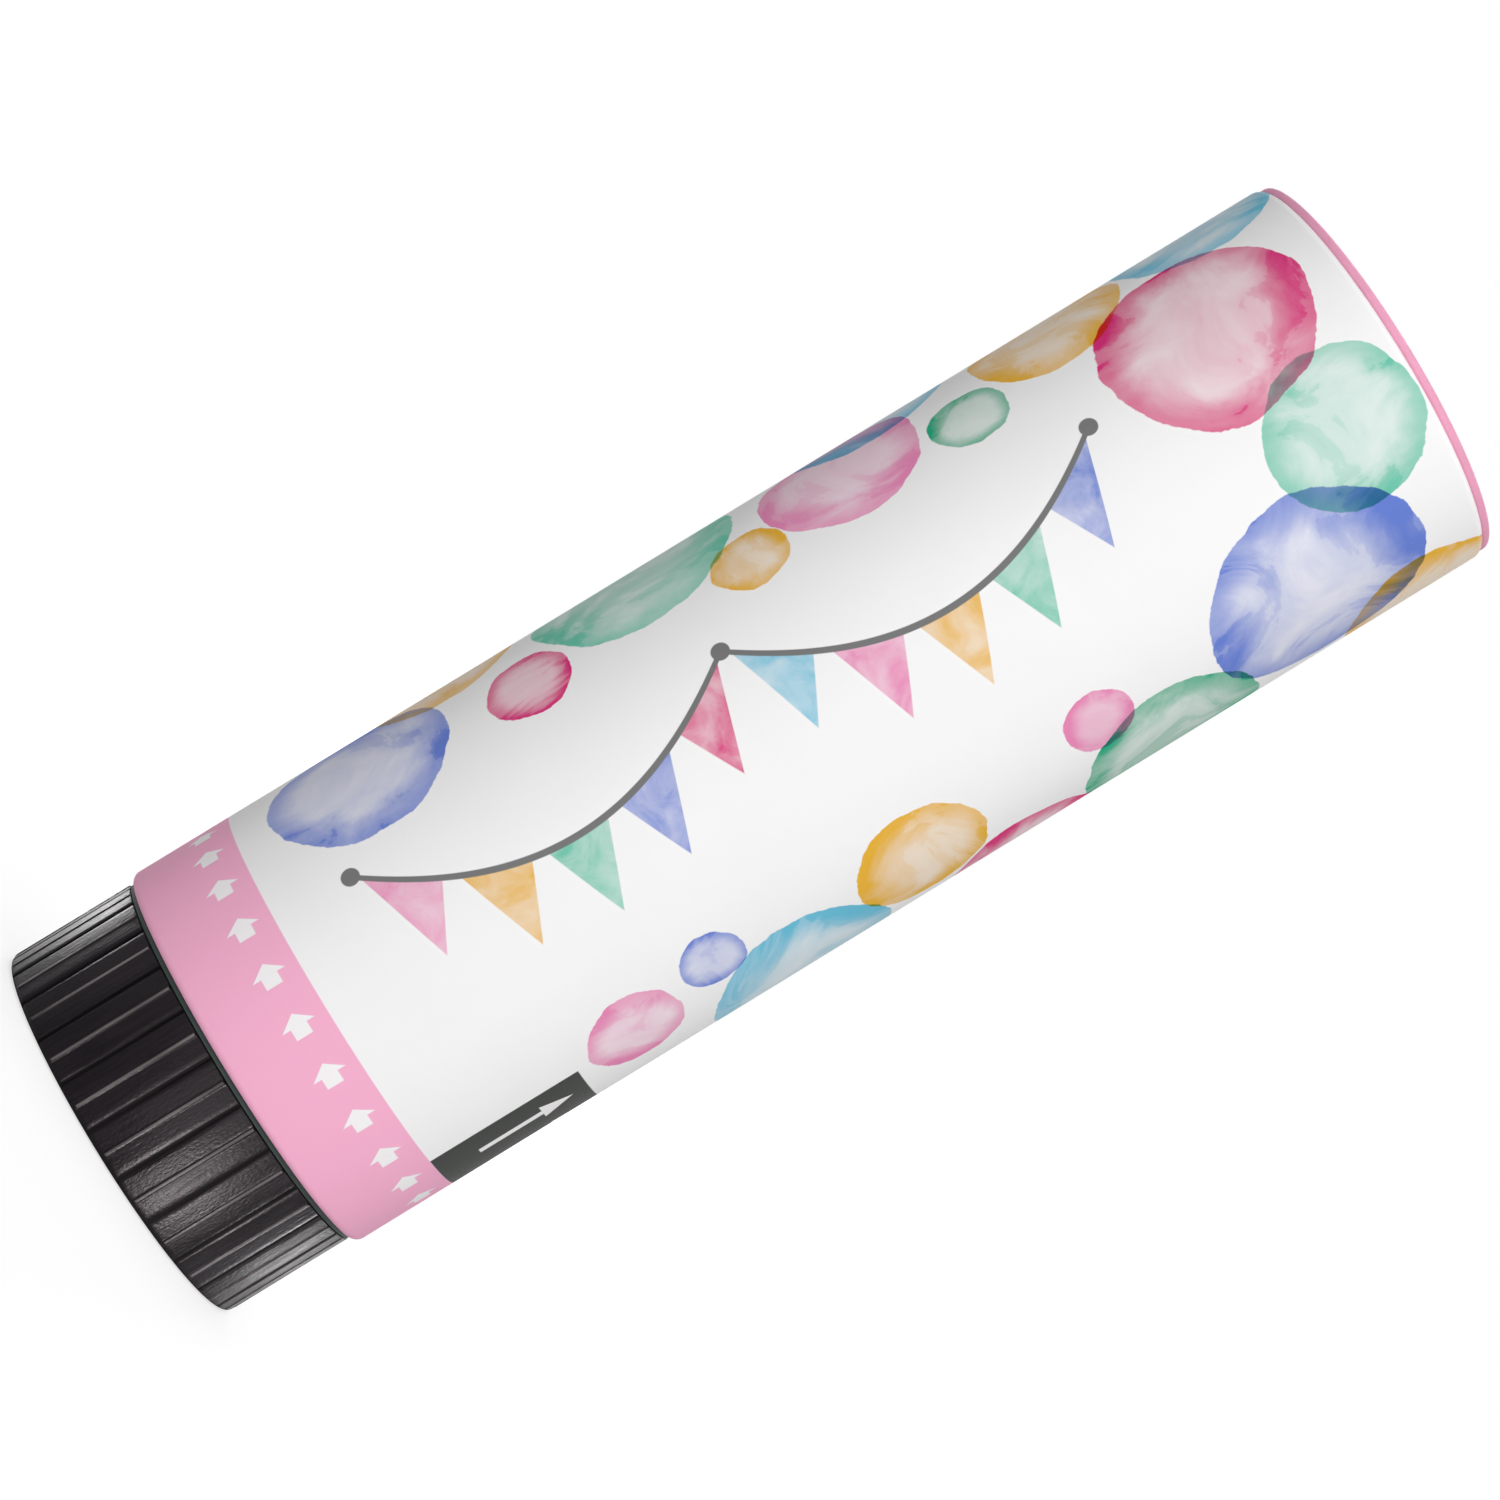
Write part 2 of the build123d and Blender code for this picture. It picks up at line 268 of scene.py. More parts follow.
def paper_sheet(settings):
    """Points, faces and map places of the wrapped sheet, which climbs onto its own start at the back."""
    half_lap = settings.lap_width / wrap_radius / 2
    half_turn = math.pi + half_lap
    climb_start = math.pi - half_lap - lap_climb
    points = []
    for step in range(sheet_steps + 1):
        turn = between((-half_turn, half_turn), step / sheet_steps)
        lift = paper * smooth_step((turn - climb_start) / lap_climb)
        for face_lift in (lift + paper, lift):
            for radius, height in sheet_profile(face_lift):
                points.append((radius * math.sin(turn), -radius * math.cos(turn), height))
    rows = len(sheet_profile(paper))

    def at(step, side, row):
        return (step * 2 + side) * rows + row

    def climb(row):
        return (points[row][2] - tube_low.z) / (tube_high.z - tube_low.z)

    faces, places = [], []

    def face(corners):
        faces.append([corner[0] for corner in corners])
        places.extend(corner[1] for corner in corners)

    for step in range(sheet_steps):
        left, right = (between(face_u, (step + ahead) / sheet_steps) for ahead in (0, 1))
        for row in range(rows - 1):
            low, high = (between(face_v, climb(row + up)) for up in (0, 1))
            back_low, back_high = (between(back_v, (row + up) / (rows - 1)) for up in (0, 1))
            face(((at(step, 0, row), (left, low)), (at(step + 1, 0, row), (right, low)),
                  (at(step + 1, 0, row + 1), (right, high)), (at(step, 0, row + 1), (left, high))))
            face(((at(step + 1, 1, row), (right, back_low)),
                  (at(step, 1, row), (left, back_low)),
                  (at(step, 1, row + 1), (left, back_high)),
                  (at(step + 1, 1, row + 1), (right, back_high))))
        for row, (inner, outer), first, second in ((0, rim_v[0], 1, 0), (rows - 1, rim_v[1], 0, 1)):
            face(((at(step, first, row), (left, inner)), (at(step + 1, first, row), (right, inner)),
                  (at(step + 1, second, row), (right, outer)), (at(step, second, row), (left, outer))))
    for step, (inner, outer), first, second in ((0, cut_u[0], 1, 0), (sheet_steps, cut_u[1], 0, 1)):
        for row in range(rows - 1):
            low, high = (between(face_v, (row + up) / (rows - 1)) for up in (0, 1))
            face(((at(step, first, row), (inner, low)), (at(step, second, row), (outer, low)),
                  (at(step, second, row + 1), (outer, high)), (at(step, first, row + 1), (inner, high))))
    return points, faces, places


# Party colours of the print, as watercolour pigments at full strength
pigments = {
    "rose": "E0327F", "pink": "F08FBE", "yellow": "F0B93F", "mint": "6CCBB0",
    "green": "23AE84", "sky": "6FC6E2", "lilac": "6C86DA",
}
# Painted rounds: place along the sheet from its front, height, radius, in millimetres, and pigment
rounds = (
    (-16.5, 29.5, 7.4, "lilac"), (-24.5, 38.0, 6.0, "yellow"), (-14.4, 43.5, 3.4, "rose"),
    (-21.5, 54.0, 8.6, "mint"), (-13.4, 62.0, 3.0, "yellow"), (-17.6, 71.0, 6.6, "pink"),
    (-26.0, 75.0, 7.2, "sky"), (-14.2, 81.0, 3.2, "green"), (-20.0, 89.5, 6.4, "yellow"),
    (-9.4, 98.5, 8.2, "rose"), (-23.0, 103.0, 7.0, "sky"), (2.6, 103.0, 6.2, "mint"),
    (13.4, 96.0, 8.8, "lilac"), (23.0, 104.0, 6.8, "yellow"), (21.0, 82.0, 7.6, "green"),
    (13.0, 77.5, 2.8, "pink"), (25.5, 69.0, 6.4, "rose"), (16.0, 61.5, 5.4, "yellow"),
    (22.0, 50.0, 7.8, "sky"), (13.0, 44.5, 2.6, "lilac"), (15.4, 37.0, 4.0, "pink"),
    (34.0, 38.5, 6.8, "lilac"), (42.5, 30.0, 7.2, "mint"), (35.5, 57.5, 8.4, "pink"),
    (45.5, 49.0, 5.2, "yellow"), (32.5, 71.5, 3.2, "green"), (41.0, 73.5, 7.8, "sky"),
    (33.5, 86.0, 6.2, "yellow"), (44.5, 90.0, 7.4, "rose"), (35.5, 100.5, 8.0, "mint"),
    (48.0, 104.0, 5.6, "lilac"), (48.5, 62.5, 3.4, "rose"), (-33.5, 28.5, 6.6, "pink"),
    (-44.0, 35.0, 8.2, "sky"), (-34.0, 48.0, 3.4, "green"), (-41.0, 52.0, 6.4, "rose"),
    (-33.0, 63.0, 7.4, "lilac"), (-45.5, 69.5, 7.0, "yellow"), (-36.0, 79.5, 3.0, "rose"),
    (-43.0, 86.0, 7.8, "green"), (-33.5, 94.5, 7.6, "lilac"), (-45.5, 101.5, 6.0, "pink"),
)
# Garland, in millimetres: a string in swags along the tube with pennants on it
garland_start = 25.5
garland_span = 31.0
garland_swags = 2
garland_side = -7.4
garland_sag = 6.2
string_half = 0.26
knot_radius = 0.72
pennants_per_swag = 5
pennant_half = 2.55
pennant_drop = 6.4
pennant_grain = 3.2
pennant_layer = 3.0
pennant_strengths = (0.45, 0.95)
pennant_colours = ("pink", "yellow", "mint", "lilac", "rose", "sky")
# A little past the start of a ramp's step, so that rounding can't fall short of it
past_step = 0.02
# Twist arrows, in millimetres: a head and a stem that point round the tube
arrow_height = 17.0
arrow_head = 1.0
arrow_stem = 0.9
arrow_head_half = 1.34
arrow_stem_half = 0.66
# Dark patch with two plain arrows towards the muzzle, in millimetres
patch_side = (15.9, 27.0)
patch_top = 31.9
launch_sides = (18.8, 24.1)
launch_tail = 22.6
launch_neck = 28.0
launch_tip = 30.6
launch_stem_half = 0.36
launch_head_half = 1.15
# Printing and brush, in millimetres
girth = 2 * math.pi * wrap_radius * per_mm
print_edge = 0.05
brush_wobble = 1.9
brush_scale = 7.5
wash_scale = 7.5
rim_share = 0.5
# How strong the pigment of a painted round is in its wash, in a second glaze and where its rim dried
bloom_span = (0.32, 0.68)
wash_strengths = (0.22, 0.52)
glaze_span = (0.535, 0.555)
glaze_strength = 0.1
rim_strength = 0.46


def cover(tree, depth):
    """How far ink covers the paper, from the depth inside an outline; a printed edge spreads a little."""
    return add(tree, "MapRange", (depth, -print_edge, print_edge, 0, 1), interpolation_type="SMOOTHSTEP")


def ink_over(tree, depth, under, ink, blend="MIX"):
    """Lays an ink over what is under it, as far as an outline reaches."""
    return add(tree, "Mix", (cover(tree, depth), under, ink), data_type="RGBA", blend_type=blend)


def least(tree, *depths):
    """Depth inside every one of some outlines at once."""
    lowest = depths[0]
    for depth in depths[1:]:
        lowest = add(tree, "Math", (lowest, depth), operation="MINIMUM")
    return lowest


def bar(tree, place, low, high):
    """Depth inside a straight bar from low to high."""
    middle = (low + high) / 2
    across = add(tree, "Math", (add(tree, "Math", (place, middle), operation="SUBTRACT"),),
                 operation="ABSOLUTE")
    return add(tree, "Math", ((high - low) / 2, across), operation="SUBTRACT")


def wash_group():
    """One painted round: a wobbling outline, pale inside with soft blooms, darker where the wash dried."""
    group = bpy.data.node_groups.new("watercolour_round", "ShaderNodeTree")
    kinds = {"Under": "Color", "Pigment": "Color", "Point": "Vector", "Centre": "Vector",
             "Radius": "Float", "Wobble": "Float", "Bloom": "Float"}
    for name, kind in kinds.items():
        group.interface.new_socket(name, in_out="INPUT", socket_type="NodeSocket" + kind)
    group.interface.new_socket("Colour", in_out="OUTPUT", socket_type="NodeSocketColor")
    given = group.nodes.new("NodeGroupInput").outputs
    offset = add(group, "VectorMath", (given["Point"], given["Centre"]), operation="SUBTRACT")
    parts = add(group, "SeparateXYZ", (offset,), out="X").node.outputs
    nearest = add(group, "Math", (parts["X"], girth / 2, -girth / 2), operation="WRAP")
    offset = add(group, "CombineXYZ", (nearest, parts["Y"], 0))
    offset = add(group, "VectorMath", (offset,), operation="LENGTH", out="Value")
    edge = add(group, "Math", (given["Wobble"], given["Radius"]), operation="ADD")
    depth = add(group, "Math", (edge, offset), operation="SUBTRACT")
    rim_width = add(group, "Math", (given["Radius"], given["Bloom"]), operation="MULTIPLY")
    rim_width = add(group, "Math", (rim_width, 2 * rim_share), operation="MULTIPLY")
    rim = add(group, "MapRange", (depth, 0, rim_width, 1, 0), interpolation_type="SMOOTHSTEP")
    strength = add(group, "MapRange", (given["Bloom"], *bloom_span, *wash_strengths))
    glaze = add(group, "MapRange", (given["Bloom"], *glaze_span, 0, glaze_strength),
                interpolation_type="SMOOTHSTEP")
    strength = add(group, "Math", (strength, glaze), operation="ADD")
    strength = add(group, "Math", (rim, rim_strength, strength), operation="MULTIPLY_ADD", use_clamp=True)
    wash = add(group, "Mix", (strength, (1, 1, 1, 1), given["Pigment"]), data_type="RGBA")
    painted = ink_over(group, depth, given["Under"], wash, "MULTIPLY")
    result = group.nodes.new("NodeGroupOutput")
    group.links.new(painted, result.inputs[0])
    return group


def draw_rounds(tree, side, height, under):
    """Lays the painted rounds over each other, so that the lower ones show through. Outlines and blooms
    follow the tube round, so that the print meets itself at the lap."""
    group = wash_group()
    point = add(tree, "CombineXYZ", (side, height, 0))
    radius = wrap_radius * per_mm
    turn = add(tree, "Math", (side, 1 / radius), operation="MULTIPLY")
    ring = [add(tree, "Math", (turn,), operation=wave) for wave in ("COSINE", "SINE")]
    place = add(tree, "VectorMath", (add(tree, "CombineXYZ", (*ring, height)), (radius, radius, 1)),
                operation="MULTIPLY")
    brush = add(tree, "TexNoise", {"Vector": place, "Scale": 1 / brush_scale, "Detail": 5,
                                   "Roughness": 0.62}, out="Color")
    bloom = add(tree, "TexNoise", {"Vector": place, "Scale": 1 / wash_scale, "Detail": 6,
                                   "Roughness": 0.58, "Distortion": 0.9}, out="Color")
    wobble = add(tree, "SeparateColor", (brush,)).node.outputs
    blooms = add(tree, "SeparateColor", (bloom,)).node.outputs
    wobbles = [add(tree, "Math", (channel, brush_wobble, -brush_wobble / 2), operation="MULTIPLY_ADD")
               for channel in wobble]
    for number, (across, up, reach, pigment) in enumerate(rounds):
        channel = number % len(wobbles)
        under = add(tree, "Group", {
            "Under": under, "Pigment": linear(pigments[pigment]), "Point": point, "Centre": (across, up, 0),
            "Radius": reach, "Wobble": wobbles[channel], "Bloom": blooms[channel]}, node_tree=group)
    return under


def paint_ramp(ramp, names):
    """Gives a ramp one even step for each pigment."""
    steps = ramp.color_ramp
    steps.interpolation = "CONSTANT"
    while len(steps.elements) < len(names):
        steps.elements.new(1)
    for number, name in enumerate(names):
        steps.elements[number].position = number / len(names)
        steps.elements[number].color = linear(pigments[name])


def draw_garland(tree, side, height, settings, under):
    """A string of pennants in swags along the tube, knotted where two swags meet."""
    along = add(tree, "MapRange", (height, garland_start, garland_start + garland_span, 0, 1), clamp=False)
    share = add(tree, "Math", (along,), operation="FRACT")
    rest = add(tree, "Math", (1, share), operation="SUBTRACT")
    bow = add(tree, "Math", (share, rest), operation="MULTIPLY")
    line = add(tree, "Math", (bow, 4 * garland_sag, garland_side), operation="MULTIPLY_ADD")
    below = add(tree, "Math", (side, line), operation="SUBTRACT")
    within = bar(tree, height, garland_start, garland_start + garland_span * garland_swags)

    count = add(tree, "Math", (along, pennants_per_swag), operation="MULTIPLY")
    place = add(tree, "Math", (add(tree, "Math", (count,), operation="FRACT"), 0.5), operation="SUBTRACT")
    pitch = garland_span / pennants_per_swag
    off = add(tree, "Math", (place,), operation="ABSOLUTE")
    off = add(tree, "Math", (off, pitch), operation="MULTIPLY")
    half = add(tree, "MapRange", (below, 0, pennant_drop, pennant_half, 0), clamp=False)
    pennant = least(tree, add(tree, "Math", (half, off), operation="SUBTRACT"), below, within)
    number = add(tree, "Math", (count,), operation="FLOOR")
    kind = add(tree, "Math", (number, 1 / len(pennant_colours)), operation="MULTIPLY")
    kind = add(tree, "Math", (add(tree, "Math", (kind,), operation="FRACT"), past_step), operation="ADD")
    hue = add(tree, "ValToRGB", (kind,), out="Color")
    paint_ramp(hue.node, pennant_colours)
    layer = add(tree, "CombineXYZ", (side, height, pennant_layer))
    grain = add(tree, "TexNoise", {"Vector": layer, "Scale": 1 / pennant_grain, "Detail": 5,
                                   "Roughness": 0.6, "Distortion": 0.7})
    strength = add(tree, "MapRange", (grain, *noise_span, *pennant_strengths))
    wash = add(tree, "Mix", (strength, (1, 1, 1, 1), hue), data_type="RGBA")
    under = ink_over(tree, pennant, under, wash, "MULTIPLY")

    string = add(tree, "Math", (string_half, add(tree, "Math", (below,), operation="ABSOLUTE")),
                 operation="SUBTRACT")
    under = ink_over(tree, least(tree, string, within), under, tuple(settings.grey))
    point = add(tree, "CombineXYZ", (side, height, 0))
    for number in range(garland_swags + 1):
        middle = (garland_side, garland_start + number * garland_span, 0)
        reach = add(tree, "VectorMath", (point, middle), operation="DISTANCE", out="Value")
        knot = add(tree, "Math", (knot_radius, reach), operation="SUBTRACT")
        under = ink_over(tree, knot, under, tuple(settings.grey))
    return under


def arrow(tree, ahead, across, head, stem, head_half, stem_half):
    """Depth inside an arrow whose head starts at ahead 0 and whose tip lies at ahead = head."""
    taper = add(tree, "MapRange", (ahead, 0, head, head_half, 0), clamp=False)
    across = add(tree, "Math", (across,), operation="ABSOLUTE")
    point = least(tree, add(tree, "Math", (taper, across), operation="SUBTRACT"), ahead)
    shaft = least(tree, bar(tree, ahead, -stem, print_edge),
                  add(tree, "Math", (stem_half, across), operation="SUBTRACT"))
    return add(tree, "Math", (point, shaft), operation="MAXIMUM")


def draw_patch(tree, side, height, settings, under):
    """A dark patch with plain arrows that show which end the confetti leaves."""
    patch = least(tree, bar(tree, side, *patch_side),
                  bar(tree, height, settings.band_top * per_mm, patch_top))
    under = ink_over(tree, patch, under, tuple(settings.patch))
    ahead = add(tree, "Math", (height, launch_neck), operation="SUBTRACT")
    for middle in launch_sides:
        across = add(tree, "Math", (side, middle), operation="SUBTRACT")
        sign = arrow(tree, ahead, across, launch_tip - launch_neck, launch_neck - launch_tail,
                     launch_head_half, launch_stem_half)
        under = ink_over(tree, sign, under, tuple(settings.arrows))
    return under


def draw_band(tree, side, height, settings, under):
    """The plain band over the knob, with arrows all round that show which way to twist."""
    band = add(tree, "Math", (settings.band_top * per_mm, height), operation="SUBTRACT")
    under = ink_over(tree, band, under, tuple(settings.band))
    pitch = girth / settings.arrow_count
    count = add(tree, "Math", (side, 1 / pitch, 0.5), operation="MULTIPLY_ADD")
    share = add(tree, "Math", (count,), operation="FRACT")
    ahead = add(tree, "MapRange", (share, 0, 1, pitch / 2, -pitch / 2))
    across = add(tree, "Math", (height, arrow_height), operation="SUBTRACT")
    sign = arrow(tree, ahead, across, arrow_head, arrow_stem, arrow_head_half, arrow_stem_half)
    return ink_over(tree, sign, under, tuple(settings.arrows))


def printed_art_paper(settings):
    """Coated art paper, offset printed: flat clear inks with a dull satin gloss. Its fibres are finer
    than the render shows, so the grain is drawn a quarter of a millimetre wide."""
    cloud_width = 9.0
    cloud_shade = 0.985
    grain_width = 0.25
    material, tree, surface = new_material("coated_art_paper_offset_printed", "BsdfPrincipled", IOR=1.47,
                                           Specular_IOR_Level=0.08)
    sheet = add(tree, "SeparateXYZ", (add(tree, "UVMap", uv_map=print_map),), out="X")
    along, up = sheet, sheet.node.outputs["Y"]
    half = (math.pi * wrap_radius + bpy.context.scene.popper_finish.lap_width / 2) * per_mm
    side = add(tree, "MapRange", (along, *face_u, -half, half), clamp=False)
    height = add(tree, "MapRange", (up, *face_v, tube_low.z * per_mm, tube_high.z * per_mm), clamp=False)
    point = add(tree, "CombineXYZ", (side, height, 0))

    clouds = add(tree, "TexNoise", {"Vector": point, "Scale": 1 / cloud_width, "Detail": 3})
    white = mottled(tree, clouds, settings.paper, cloud_shade, span=noise_span[::-1])
    design = draw_rounds(tree, side, height, white)
    design = draw_garland(tree, side, height, settings, design)
    design = draw_patch(tree, side, height, settings, design)
    design = draw_band(tree, side, height, settings, design)
    hidden = add(tree, "Math", (up, (face_v[1] + back_v[0]) / 2), operation="GREATER_THAN")
    edge = add(tree, "Math", (along, (face_u[1] + cut_u[0][0]) / 2), operation="GREATER_THAN")
    bare_face = add(tree, "Math", (hidden, edge), operation="MAXIMUM")
    ink = add(tree, "Mix", (bare_face, design, white), data_type="RGBA")
    grain = add(tree, "TexNoise", {"Vector": point, "Scale": 1 / grain_width, "Detail": 2})
    finish_surface(tree, surface, ink, grain, grain, rough=(0.54, 0.64), strength=0.25, depth=0.01)
    return material


class POPPER_OT_wrap(bpy.types.Operator):
    """Wraps the tube in its printed paper sheet"""
    bl_idname = "popper.wrap"
    bl_label = "Printed paper"

    def execute(self, context):
        points, faces, places = paper_sheet(context.scene.popper_finish)
        piece = mesh_piece("printed_sheet", points, faces, printed_art_paper(context.scene.popper_print),
                           sharp=math.radians(50))
        layer = piece.data.uv_layers.new(name=print_map)
        for number, place in enumerate(places):
            layer.uv[number].vector = place
        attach(piece, "barrel")
        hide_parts("printed_wrap")
        return {"FINISHED"}


def millimetres(tree, squeeze=(1, 1, 1)):
    """Object coordinates in millimetres, squeezed along the axes that a grain runs along."""
    place = add(tree, "TexCoord", out="Object")
    scale = tuple(per_mm * share for share in squeeze)
    return add(tree, "VectorMath", (place, scale), operation="MULTIPLY")


def waste_pulp(tree, full, dark, fibre_width, fleck_pitch, fleck_edge, fleck_colour):
    """Fibres and colour of card made from waste paper: darker between its fibres, and flecked."""
    place = millimetres(tree)
    fibres = add(tree, "TexNoise", {"Vector": place, "Scale": 1 / fibre_width, "Detail": 6,
                                    "Roughness": 0.7})
    flecks = add(tree, "TexVoronoi", {"Vector": place, "Scale": 1 / fleck_pitch}, out="Distance")
    flecks = add(tree, "MapRange", (flecks, *fleck_edge, 1, 0))
    tone = mottled(tree, fibres, full, dark)
    return fibres, add(tree, "Mix", (flecks, tone, linear(fleck_colour)), data_type="RGBA")


def wound_greyboard(settings):
    """Greyboard, wound in a spiral: dull brown-grey card with darker flecks, pale fibres and a fine seam
    that climbs round the tube."""
    ply_width = 38.0
    seam_edge = (0.08, 0.28)
    material, tree, surface = new_material("spiral_wound_greyboard", "BsdfPrincipled", IOR=1.45)
    parts = add(tree, "SeparateXYZ", (millimetres(tree),), out="X").node.outputs
    turn = add(tree, "Math", (parts["X"], parts["Y"]), operation="ARCTAN2")
    climb = add(tree, "Math", (turn, ply_width / (2 * math.pi), parts["Z"]), operation="MULTIPLY_ADD")
    seam = add(tree, "Math", (climb, ply_width), operation="PINGPONG")
    seam = add(tree, "MapRange", (seam, *seam_edge, 1, 0), interpolation_type="SMOOTHSTEP")
    fibres, tone = waste_pulp(tree, settings.board, dark=0.78, fibre_width=0.9, fleck_pitch=1.3,
                              fleck_edge=(0.08, 0.2), fleck_colour="8A7458")
    tone = add(tree, "Mix", (seam, tone, linear("6E5C47")), data_type="RGBA")
    relief = add(tree, "Math", (fibres, seam), operation="SUBTRACT")
    finish_surface(tree, surface, tone, fibres, relief, rough=(0.78, 0.92), strength=0.5, depth=0.05)
    return material


def dyed_card(settings):
    """Dyed card, die cut: even pink through and through, soft and matt, with a faint cloudiness and
    fibres that are drawn a little coarse so that they show."""
    cloud_width = 4.0
    fibre_width = 0.3
    shade_span = (0.15, 0.36)
    material, tree, surface = new_material("dyed_card_die_cut", "BsdfPrincipled", IOR=1.46)
    place = millimetres(tree)
    clouds = add(tree, "TexNoise", {"Vector": place, "Scale": 1 / cloud_width, "Detail": 4})
    fibres = add(tree, "TexNoise", {"Vector": place, "Scale": 1 / fibre_width, "Detail": 4,
                                    "Roughness": 0.65})
    shade = add(tree, "Math", (clouds, fibres), operation="MULTIPLY")
    tone = mottled(tree, shade, settings.lid, dark=0.93, span=shade_span)
    finish_surface(tree, surface, tone, fibres, fibres, rough=(0.6, 0.75), strength=0.35, depth=0.02)
    return material


def grey_wad_card(settings):
    """Greyboard, die cut: grey-brown waste-paper card with specks and a rough matt face."""
    material, tree, surface = new_material("greyboard_die_cut", "BsdfPrincipled", IOR=1.45)
    fibres, tone = waste_pulp(tree, settings.wad, dark=0.75, fibre_width=0.7, fleck_pitch=1.1,
                              fleck_edge=(0.06, 0.16), fleck_colour="5F5750")
    finish_surface(tree, surface, tone, fibres, fibres, rough=(0.82, 0.95), strength=0.5, depth=0.06)
    return material


class POPPER_OT_card(bpy.types.Operator):
    """Finishes the card pieces: the wound tube, the muzzle lid and the wad"""
    bl_idname = "popper.card"
    bl_label = "Card tube, lid and wad"

    def execute(self, context):
        settings = context.scene.popper_finish
        wear("cardboard_tube", wound_greyboard(settings))
        wear("muzzle_lid", dyed_card(settings))
        wear("wad_disc", grey_wad_card(settings))
        return {"FINISHED"}


# Knob: a smooth land on each side of every rib, and a narrow groove halfway from rib to rib
rib_count = 24
rib_phase = math.radians(2.5)
rib_pitch = 2 * math.pi / rib_count
rib_half = 0.2 * mm
rib_rise = 0.1 * mm
groove_half = 0.28 * mm
groove_depth = 0.22 * mm
foot_round = 0.6 * mm
foot_rows = (0.13, 0.33, 0.6, 1.0)
rim_chamfer = 0.15 * mm
skirt_depth = 0.8 * mm
# How squarely a face of the outer wall looks away from the axis
outward = 0.5
knob_rim = max(spot.z for spot in knob_spots if math.hypot(*spot.xy) > knob_radius - skirt_depth)
weld = 0.001 * mm


def cut_skirt(knob, spot, direction):
    """Adds edges where a plane cuts the knob's outer wall."""
    parts = {}
    for face in knob.faces:
        middle = face.calc_center_median()
        out = Vector((*middle.xy, 0))
        if out.length > knob_radius - skirt_depth and face.normal.dot(out.normalized()) > outward:
            parts.update(dict.fromkeys((*face.verts, *face.edges, face)))
    bmesh.ops.bisect_plane(knob, geom=list(parts), dist=weld, plane_co=spot, plane_no=direction)


def off_rib(spot):
    """Distance round the knob's wall from a point to the middle of the nearest rib."""
    turn = (math.atan2(spot.y, spot.x) - rib_phase) / rib_pitch
    return abs(turn - round(turn)) * rib_pitch * knob_radius


def land_radius(spot):
    """Distance of the knob's wall from its axis, at the angle and height of a point beside a rib."""
    from_groove = rib_pitch * knob_radius / 2 - off_rib(spot)
    wall = knob_radius - rib_rise - groove_depth * max(0, 1 - from_groove / groove_half)
    below = max(foot_round - spot.z, 0)
    foot = knob_radius - foot_round + math.sqrt(foot_round ** 2 - below ** 2)
    rim = knob_radius - max(spot.z - knob_rim + rim_chamfer, 0)
    return min(wall, foot, rim)


def grooved_knob():
    """A copy of the moulded cup with its hollow flutes filled to lands and grooves."""
    knob = bmesh.new()
    knob.from_mesh(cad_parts["twist_knob"].data)
    bmesh.ops.remove_doubles(knob, verts=knob.verts, dist=weld)
    knob.normal_update()
    for height in (*(foot_round * share for share in foot_rows), knob_rim - rim_chamfer / 2):
        cut_skirt(knob, (0, 0, height), (0, 0, 1))
    groove_turn = groove_half / knob_radius
    for number in range(rib_count // 2):
        for aside in (-groove_turn, 0, groove_turn):
            turn = rib_phase + (number + 0.5) * rib_pitch + aside
            cut_skirt(knob, (0, 0, 0), (-math.sin(turn), math.cos(turn), 0))
    for vertex in knob.verts:
        reach = math.hypot(*vertex.co.xy)
        if reach > knob_radius - skirt_depth and off_rib(vertex.co) > rib_half:
            vertex.co.xy *= land_radius(vertex.co) / reach
    mesh = bpy.data.meshes.new("grooved_knob")
    knob.to_mesh(mesh)
    knob.free()
    return mesh


